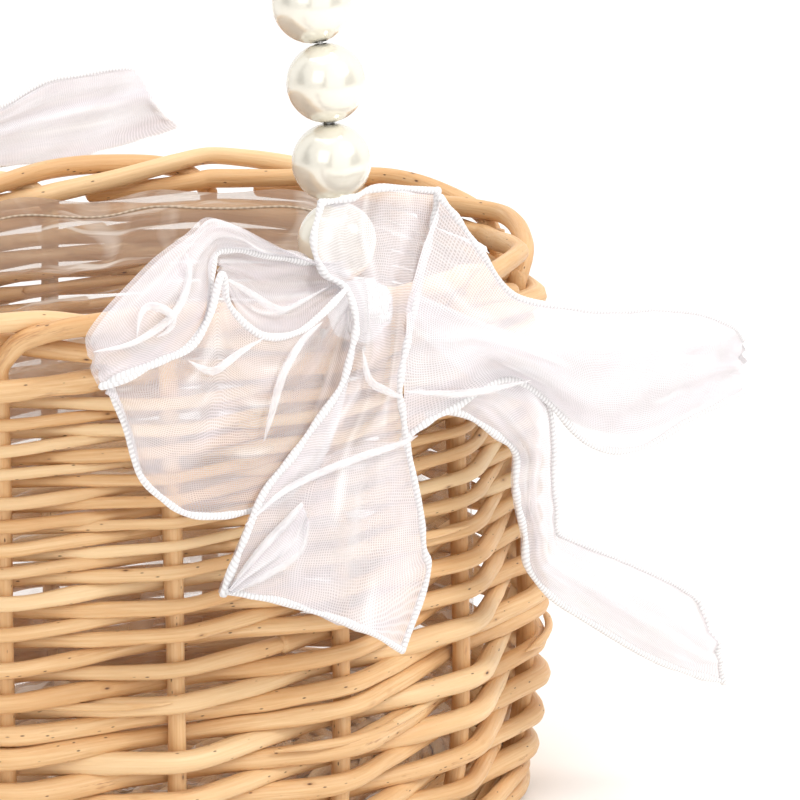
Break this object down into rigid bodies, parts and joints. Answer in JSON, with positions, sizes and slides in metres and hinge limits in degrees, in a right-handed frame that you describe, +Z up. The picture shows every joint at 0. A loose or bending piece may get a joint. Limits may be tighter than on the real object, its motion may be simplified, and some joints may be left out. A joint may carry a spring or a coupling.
{
  "type": "flower girl basket",
  "caption": "Oval willow basket with a clear film liner, a swinging handle of faux pearls on a wire, and an organza bow at each handle foot.",
  "frame": {"origin": "centre of the base's underside", "axes": "+Z up, X along the oval's long axis, Y through the handle's two feet, -Y the bow at the front"},
  "size_m": [0.2115, 0.1948, 0.2355],
  "materials": {
    "wicker": "peeled willow, satin",
    "base": "peeled willow, satin",
    "film": "clear plastic film",
    "wire": "drawn wire",
    "pearl": "pearlescent gloss",
    "ribbon": "sheer organza with stitched edges"
  },
  "bodies": {
    "basket": {"stake_01": "wicker", "stake_02": "wicker", "stake_03": "wicker", "stake_04": "wicker", "stake_05": "wicker", "stake_06": "wicker", "stake_07": "wicker", "stake_08": "wicker", "stake_09": "wicker", "stake_10": "wicker", "stake_11": "wicker", "stake_12": "wicker", "stake_13": "wicker", "stake_14": "wicker", "foot_rows": "wicker", "weave_01": "wicker", "weave_02": "wicker", "weave_03": "wicker", "weave_04": "wicker", "weave_05": "wicker", "weave_06": "wicker", "weave_07": "wicker", "weave_08": "wicker", "weave_09": "wicker", "base_weave": "base", "base_cross_1": "base", "base_cross_2": "base", "base_cross_3": "base", "base_cross_4": "base", "base_long_1": "base", "base_long_2": "base", "liner": "film", "front_bow_knot": "ribbon", "front_bow_loop_left": "ribbon", "front_bow_loop_right": "ribbon", "front_bow_tail_left": "ribbon", "front_bow_tail_right": "ribbon", "back_bow_knot": "ribbon", "back_bow_loop_left": "ribbon", "back_bow_loop_right": "ribbon", "back_bow_tail_left": "ribbon", "back_bow_tail_right": "ribbon"},
    "handle": {"handle_wire": "wire"},
    "pearl_01": {"pearl_01": "pearl"},
    "pearl_02": {"pearl_02": "pearl"},
    "pearl_03": {"pearl_03": "pearl"},
    "pearl_04": {"pearl_04": "pearl"},
    "pearl_05": {"pearl_05": "pearl"},
    "pearl_06": {"pearl_06": "pearl"},
    "pearl_07": {"pearl_07": "pearl"},
    "pearl_08": {"pearl_08": "pearl"},
    "pearl_09": {"pearl_09": "pearl"},
    "pearl_10": {"pearl_10": "pearl"},
    "pearl_11": {"pearl_11": "pearl"},
    "pearl_12": {"pearl_12": "pearl"},
    "pearl_13": {"pearl_13": "pearl"},
    "pearl_14": {"pearl_14": "pearl"},
    "pearl_15": {"pearl_15": "pearl"},
    "pearl_16": {"pearl_16": "pearl"},
    "pearl_17": {"pearl_17": "pearl"}
  },
  "joints": [
    {"name": "handle_swing", "type": "hinge", "parent": "basket", "child": "handle", "pos_m": [0, 0, 0.1186], "axis": [0, 1, 0], "range_deg": [-24, 24]},
    {"name": "pearl_01_spin", "type": "hinge", "parent": "handle", "child": "pearl_01", "pos_m": [0, -0.0707, 0.1394], "axis": [0, -0.0692, 0.9976], "continuous": true},
    {"name": "pearl_02_spin", "type": "hinge", "parent": "handle", "child": "pearl_02", "pos_m": [0, -0.06909, 0.15532], "axis": [0, 0.1004, 0.9949], "continuous": true},
    {"name": "pearl_03_spin", "type": "hinge", "parent": "handle", "child": "pearl_03", "pos_m": [0, -0.06749, 0.17124], "axis": [0, 0.1833, 0.9831], "continuous": true},
    {"name": "pearl_04_spin", "type": "hinge", "parent": "handle", "child": "pearl_04", "pos_m": [0, -0.06325, 0.18668], "axis": [0, 0.378, 0.9258], "continuous": true},
    {"name": "pearl_05_spin", "type": "hinge", "parent": "handle", "child": "pearl_05", "pos_m": [0, -0.05547, 0.20067], "axis": [0, 0.5885, 0.8085], "continuous": true},
    {"name": "pearl_06_spin", "type": "hinge", "parent": "handle", "child": "pearl_06", "pos_m": [0, -0.04454, 0.21237], "axis": [0, 0.7665, 0.6422], "continuous": true},
    {"name": "pearl_07_spin", "type": "hinge", "parent": "handle", "child": "pearl_07", "pos_m": [0, -0.0311, 0.22108], "axis": [0, 0.899, 0.4379], "continuous": true},
    {"name": "pearl_08_spin", "type": "hinge", "parent": "handle", "child": "pearl_08", "pos_m": [0, -0.01596, 0.22629], "axis": [0, 0.9782, 0.2077], "continuous": true},
    {"name": "pearl_09_spin", "type": "hinge", "parent": "handle", "child": "pearl_09", "pos_m": [0, 0, 0.22769], "axis": [0, 1, 0], "continuous": true},
    {"name": "pearl_10_spin", "type": "hinge", "parent": "handle", "child": "pearl_10", "pos_m": [0, 0.01596, 0.22629], "axis": [0, 0.9782, -0.2077], "continuous": true},
    {"name": "pearl_11_spin", "type": "hinge", "parent": "handle", "child": "pearl_11", "pos_m": [0, 0.0311, 0.22108], "axis": [0, 0.899, -0.4379], "continuous": true},
    {"name": "pearl_12_spin", "type": "hinge", "parent": "handle", "child": "pearl_12", "pos_m": [0, 0.04454, 0.21237], "axis": [0, 0.7665, -0.6422], "continuous": true},
    {"name": "pearl_13_spin", "type": "hinge", "parent": "handle", "child": "pearl_13", "pos_m": [0, 0.05547, 0.20067], "axis": [0, 0.5885, -0.8085], "continuous": true},
    {"name": "pearl_14_spin", "type": "hinge", "parent": "handle", "child": "pearl_14", "pos_m": [0, 0.06325, 0.18668], "axis": [0, 0.378, -0.9258], "continuous": true},
    {"name": "pearl_15_spin", "type": "hinge", "parent": "handle", "child": "pearl_15", "pos_m": [0, 0.06749, 0.17124], "axis": [0, 0.1833, -0.9831], "continuous": true},
    {"name": "pearl_16_spin", "type": "hinge", "parent": "handle", "child": "pearl_16", "pos_m": [0, 0.06909, 0.15532], "axis": [0, 0.1004, -0.9949], "continuous": true},
    {"name": "pearl_17_spin", "type": "hinge", "parent": "handle", "child": "pearl_17", "pos_m": [0, 0.0707, 0.1394], "axis": [0, -0.0692, -0.9976], "continuous": true}
  ]
}
